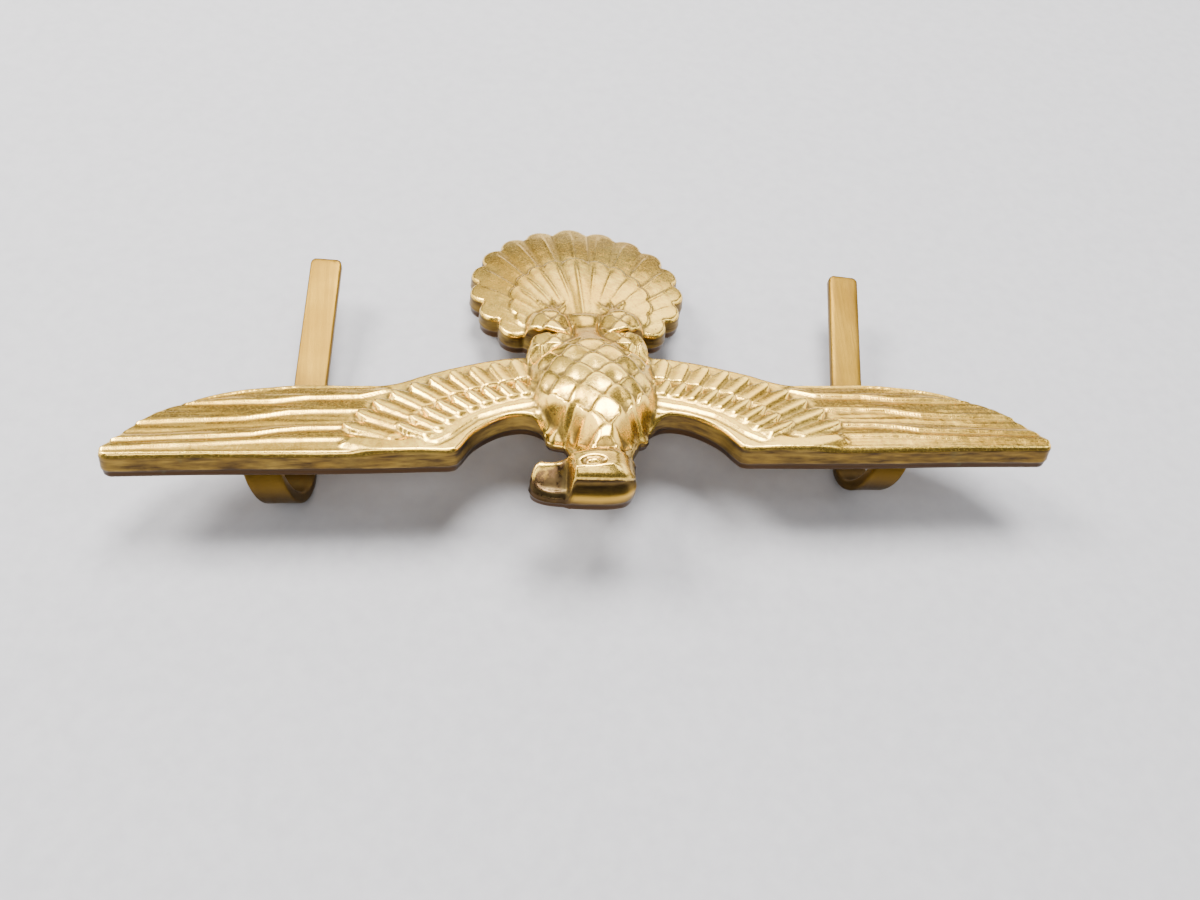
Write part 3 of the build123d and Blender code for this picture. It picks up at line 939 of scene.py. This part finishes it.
# ---------------------------------------------------------------- materials
class Nodes:
    """A new material, with short ways to add and join its nodes."""

    def __init__(self, name):
        self.material = bpy.data.materials.new(name)
        self.material.use_nodes = True
        self.tree = self.material.node_tree
        self.shader = self.tree.nodes["Principled BSDF"]
        self.coordinates = self.tree.nodes.new("ShaderNodeTexCoord").outputs["Object"]

    def link(self, value, socket):
        """Joins an output to a socket, or sets the socket to a plain value."""
        if hasattr(value, "is_output"):
            self.tree.links.new(value, socket)
        else:
            socket.default_value = value

    def node(self, kind, **inputs):
        """A new node with inputs joined or set; a space in an input's name is written as an underscore."""
        node = self.tree.nodes.new(f"ShaderNode{kind}")
        for name, value in inputs.items():
            self.link(value, node.inputs[name.replace("_", " ")])
        return node

    def noise(self, scale, detail, roughness=0.55, stretch=None):
        """Noise from 0 to 1; scale is waves per metre."""
        place = self.coordinates
        if stretch:
            place = self.node("Mapping", Scale=stretch, Vector=place).outputs["Vector"]
        node = self.node("TexNoise", Scale=scale, Detail=detail, Roughness=roughness, Vector=place)
        return node.outputs["Fac"]

    def attribute(self, name):
        """A value stored on the mesh's points."""
        node = self.node("Attribute")
        node.attribute_name = name
        return node.outputs["Fac"]

    def height(self):
        """Height in the frame of the CAD, in metres."""
        return self.node("SeparateXYZ", Vector=self.coordinates).outputs["Z"]

    def math(self, operation, a, b):
        node = self.node("Math")
        node.operation = operation
        self.link(a, node.inputs[0])
        self.link(b, node.inputs[1])
        return node.outputs[0]

    def times(self, a, b):
        return self.math("MULTIPLY", a, b)

    def plus(self, a, b):
        return self.math("ADD", a, b)

    def spread(self, value, low, high, to_low=0.0, to_high=1.0):
        """The value moved from the range low to high to the range to_low to to_high, and held inside it."""
        ranges = {"From_Min": low, "From_Max": high, "To_Min": to_low, "To_Max": to_high}
        return self.node("MapRange", Value=value, **ranges).outputs["Result"]

    def mix(self, share, a, b):
        """Colour a where the share is 0 and b where it is 1."""
        node = self.node("Mix", Factor=share)
        node.data_type = "RGBA"
        self.link(a, node.inputs[6])
        self.link(b, node.inputs[7])
        return node.outputs[2]

    def metal(self, colour):
        """Makes the material a metal of this colour and gives it."""
        self.link(colour, self.shader.inputs["Base Color"])
        self.shader.inputs["Metallic"].default_value = 1.0
        return self.material

    def bump(self, height, strength, distance):
        node = self.node("Bump", Strength=strength, Distance=distance, Height=height)
        self.link(node.outputs["Normal"], self.shader.inputs["Normal"])


GOLD = (0.84, 0.495, 0.07, 1)
GOLD_PALE = (0.93, 0.615, 0.12, 1)
GOLD_DEEP = (0.48, 0.29, 0.06, 1)
PATINA = (0.085, 0.060, 0.023, 1)
# Painted dark reflection on the side walls
WALL_SHADE_BROWN = (0.066, 0.040, 0.018, 1)
SHEAR_BROWN = (0.05, 0.024, 0.008, 1)
# Painted shade on the head and beak
HEAD_SHADE_BROWN = (0.105, 0.060, 0.027, 1)
VERDIGRIS = (0.10, 0.13, 0.07, 1)
BACK_GOLD = (0.50, 0.30, 0.09, 1)
BACK_BROWN = (0.34, 0.19, 0.055, 1)
BRASS = (0.21, 0.122, 0.015, 1)
BRASS_DARK = (0.16, 0.088, 0.011, 1)
BRASS_DRAWN = (0.24, 0.135, 0.03, 1)
# Painted shade on the strip where it lies under the badge
BRASS_SHADE_BROWN = (0.06, 0.037, 0.015, 1)
SOLDER_PALE = (0.42, 0.40, 0.37, 1)
SOLDER_DARK = (0.24, 0.22, 0.19, 1)
FLOOR_PALE = (0.38, 0.38, 0.40, 1)
FLOOR_DARK = (0.35, 0.35, 0.37, 1)


def aged_gilt():
    """Worn gilding: pale on high edges, brown in hollows, with fine grain, dark specks and a little green;
    painted dark reflection on the walls, painted shade on the head and beak and a painted highlight on the
    head's lip.
    """
    n = Nodes("aged_gilt")
    recess = n.attribute("recess")
    broad = n.noise(220.0, 3.0)
    fine = n.noise(5200.0, 3.0, 0.65)
    grain = n.noise(14000.0, 2.0, 0.7)
    blotch = n.noise(900.0, 5.0, 0.6)
    colour = n.mix(n.spread(broad, 0.35, 0.65), GOLD, GOLD_PALE)
    colour = n.mix(n.spread(blotch, 0.52, 0.72, 0.0, 0.55), colour, GOLD_DEEP)
    # Painted shade on the head and beak, broken up by blotches
    head_shade = n.times(n.attribute("head_shade"), n.spread(blotch, 0.35, 0.6, 0.5, 1.0))
    colour = n.mix(head_shade, colour, HEAD_SHADE_BROWN)
    colour = n.mix(n.spread(recess, -0.15, -0.8, 0.0, 0.9), colour, GOLD_PALE)
    dirty = n.plus(recess, n.times(n.plus(fine, -0.5), 1.3))
    hollow = n.times(n.spread(dirty, 0.12, 1.0, 0.0, 0.85), n.spread(recess, 1.6, 1.2))
    colour = n.mix(hollow, colour, PATINA)
    drag = n.noise(2600.0, 4.0, 0.6, stretch=(0.15, 0.15, 1.0))
    # Painted dark reflection on the walls, streaked up and down
    wall = n.times(n.spread(recess, 1.3, 1.95), n.spread(drag, 0.35, 0.68, 1.0, 0.72))
    colour = n.mix(wall, colour, WALL_SHADE_BROWN)
    # Painted highlight: the head's lip goes back to plain gold over the walls' painted dark reflection
    colour = n.mix(n.times(n.attribute("worn"), 0.8), colour, GOLD)
    colour = n.mix(n.spread(recess, 2.2, 2.8), colour, SHEAR_BROWN)
    back = n.mix(n.spread(blotch, 0.3, 0.7), BACK_GOLD, BACK_BROWN)
    colour = n.mix(n.spread(recess, 3.2, 3.9), colour, back)
    specks = n.spread(n.times(fine, n.spread(broad, 0.3, 0.7, 0.8, 1.15)), 0.68, 0.76, 0.0, 0.55)
    colour = n.mix(specks, colour, PATINA)
    green = n.times(n.spread(n.noise(330.0, 3.0), 0.66, 0.74), n.spread(blotch, 0.45, 0.6, 0.0, 0.55))
    colour = n.mix(green, colour, VERDIGRIS)
    rough = n.plus(n.spread(fine, 0.3, 0.75, 0.20, 0.31), n.times(hollow, 0.2))
    rough = n.plus(rough, n.times(wall, 0.12))
    n.link(rough, n.shader.inputs["Roughness"])
    n.bump(n.plus(n.times(grain, 0.5), fine), 0.22, 0.00002)
    return n.metal(colour)


def worn_brass():
    """Plain strip brass: drawn along its length, yellow where rubbed, with painted shade in brown where it
    lies low, behind the badge.
    """
    n = Nodes("worn_brass")
    broad = n.noise(260.0, 3.0)
    drawn = n.noise(1800.0, 3.0, 0.6, stretch=(1.0, 0.03, 0.03))
    fine = n.noise(6000.0, 3.0, 0.6)
    colour = n.mix(n.spread(broad, 0.35, 0.65), BRASS, BRASS_DARK)
    colour = n.mix(n.spread(drawn, 0.5, 0.75, 0.0, 0.3), colour, BRASS_DRAWN)
    colour = n.mix(n.spread(fine, 0.62, 0.74, 0.0, 0.6), colour, PATINA)
    # Painted shade: brown lower down, under the badge, broken up by noise
    behind = n.times(n.spread(n.height(), -0.0006, -0.0030), n.spread(broad, 0.3, 0.7, 0.5, 0.85))
    colour = n.mix(behind, colour, BRASS_SHADE_BROWN)
    n.link(n.spread(drawn, 0.3, 0.7, 0.38, 0.55), n.shader.inputs["Roughness"])
    n.bump(n.plus(n.times(fine, 0.5), drawn), 0.35, 0.00004)
    return n.metal(colour)


def dull_solder():
    """Grey solder, uneven and rather rough."""
    n = Nodes("dull_solder")
    broad = n.noise(900.0, 4.0)
    fine = n.noise(5000.0, 3.0)
    n.link(n.spread(fine, 0.3, 0.7, 0.35, 0.6), n.shader.inputs["Roughness"])
    n.bump(n.plus(fine, broad), 0.4, 0.00006)
    return n.metal(n.mix(n.spread(broad, 0.35, 0.65), SOLDER_PALE, SOLDER_DARK))


def pale_floor():
    """Matt, almost even pale grey."""
    n = Nodes("pale_floor")
    colour = n.mix(n.spread(n.noise(900.0, 3.0), 0.3, 0.7), FLOOR_PALE, FLOOR_DARK)
    n.link(colour, n.shader.inputs["Base Color"])
    n.shader.inputs["Roughness"].default_value = 0.9
    return n.material


shell = struck_shell()
shell.data.materials.append(aged_gilt())
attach(shell, "badge")
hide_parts("badge_shell")

brass = worn_brass()
solder = dull_solder()
for side in PRONGS:
    strips = {"foot": prong_foot(side), "bend": prong_bend(side), "leg": prong_leg(side)}
    collar = solder_collar(side)
    for part, strip in strips.items():
        strip.data.materials.append(brass)
        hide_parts(f"{side}_prong_{part}")
    collar.data.materials.append(solder)
    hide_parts(f"{side}_solder")
    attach(strips["foot"], "badge")
    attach(collar, "badge")
    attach(strips["leg"], f"{side}_leg")
    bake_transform(strips["bend"])


# ---------------------------------------------------------------- floor, light and camera
FLOOR_NEAR = Vector((0.0, 4.1, -5.33)) * MM   # under the left bend
FLOOR_FAR = Vector((0.0, 28.8, -0.03)) * MM   # under the rim of the tail
FLOOR_HALF = 0.6                              # metres, each way
WARM = (1.0, 0.97, 0.93)
SOFT_WHITE = (1.0, 0.98, 0.96)
COOL = (0.93, 0.96, 1.0)
# Name, place, y of the point that it is turned to, width and height, all in metres, then watts and colour
SOFTBOXES = [
    ("key", (-0.19, 0.05, 0.26), 0.008, (0.11, 0.11), 2.0, WARM),
    ("top", (0.02, 0.045, 0.34), 0.008, (0.13, 0.17), 3.2, SOFT_WHITE),
    ("front", (-0.03, -0.24, 0.23), 0.004, (0.22, 0.10), 0.4, SOFT_WHITE),
    ("back", (0.0, 0.27, 0.33), 0.008, (0.45, 0.36), 0.42, SOFT_WHITE),
    ("window", (0.09, 0.31, 0.26), 0.008, (0.24, 0.12), 0.35, SOFT_WHITE),
    ("fill", (0.22, -0.10, 0.22), 0.005, (0.10, 0.10), 0.25, COOL),
    ("low_left", (-0.30, 0.03, 0.13), 0.005, (0.36, 0.16), 0.75, WARM),
    ("low_right", (0.30, 0.07, 0.11), 0.005, (0.36, 0.15), 0.55, SOFT_WHITE),
]
WORLD_COLOUR = (0.50, 0.53, 0.58, 1)
WORLD_STRENGTH = 0.22
CAMERA_PLACE = Vector((-10.315, -54.18, 52.49)) * MM
CAMERA_TURNS = (10.513, 42.37, 6.691)         # degrees: to the right, down and tilted
CAMERA_SENSOR = 36.0
CAMERA_LENS = 33.0


def floor():
    """A plane under the left bend and the far rim of the tail, as the badge lies in the photograph."""
    along = (FLOOR_FAR - FLOOR_NEAR).normalized()
    across = Vector((1, 0, 0))
    signs = ((-1, -1), (1, -1), (1, 1), (-1, 1))
    corners = [FLOOR_NEAR + across * i * FLOOR_HALF + along * j * FLOOR_HALF for i, j in signs]
    mesh = bpy.data.meshes.new("floor")
    mesh.from_pydata([tuple(corner) for corner in corners], [], [(0, 1, 2, 3)])
    obj = bpy.data.objects.new("floor", mesh)
    bpy.context.scene.collection.objects.link(obj)
    mesh.materials.append(pale_floor())


def softbox(name, place, target_y, size, power, colour):
    """A rectangular light turned to a point on the badge's middle line."""
    light = bpy.data.lights.new(name, "AREA")
    light.shape = "RECTANGLE"
    light.size, light.size_y = size
    light.energy = power
    light.color = colour
    obj = bpy.data.objects.new(name, light)
    bpy.context.scene.collection.objects.link(obj)
    obj.location = place
    obj.rotation_euler = (Vector((0, target_y, 0)) - Vector(place)).to_track_quat("-Z", "Y").to_euler()


def studio_world():
    """A dim bluish surround that fills the shadows."""
    world = bpy.data.worlds.new("world")
    world.use_nodes = True
    background = world.node_tree.nodes["Background"]
    background.inputs["Color"].default_value = WORLD_COLOUR
    background.inputs["Strength"].default_value = WORLD_STRENGTH
    bpy.context.scene.world = world


def camera():
    """A close camera above and in front of the head, turned a little to the right of the badge."""
    right, down, tilt = (math.radians(angle) for angle in CAMERA_TURNS)
    turned = Matrix.Rotation(-right, 4, "Z") @ Matrix.Rotation(math.pi / 2 - down, 4, "X")
    data = bpy.data.cameras.new("camera")
    data.sensor_width = CAMERA_SENSOR
    data.lens = CAMERA_LENS
    data.clip_start = 0.001
    obj = bpy.data.objects.new("camera", data)
    obj.matrix_world = Matrix.Translation(CAMERA_PLACE) @ turned @ Matrix.Rotation(tilt, 4, "Z")
    bpy.context.scene.collection.objects.link(obj)
    bpy.context.scene.camera = obj


floor()
for softbox_values in SOFTBOXES:
    softbox(*softbox_values)
studio_world()
camera()
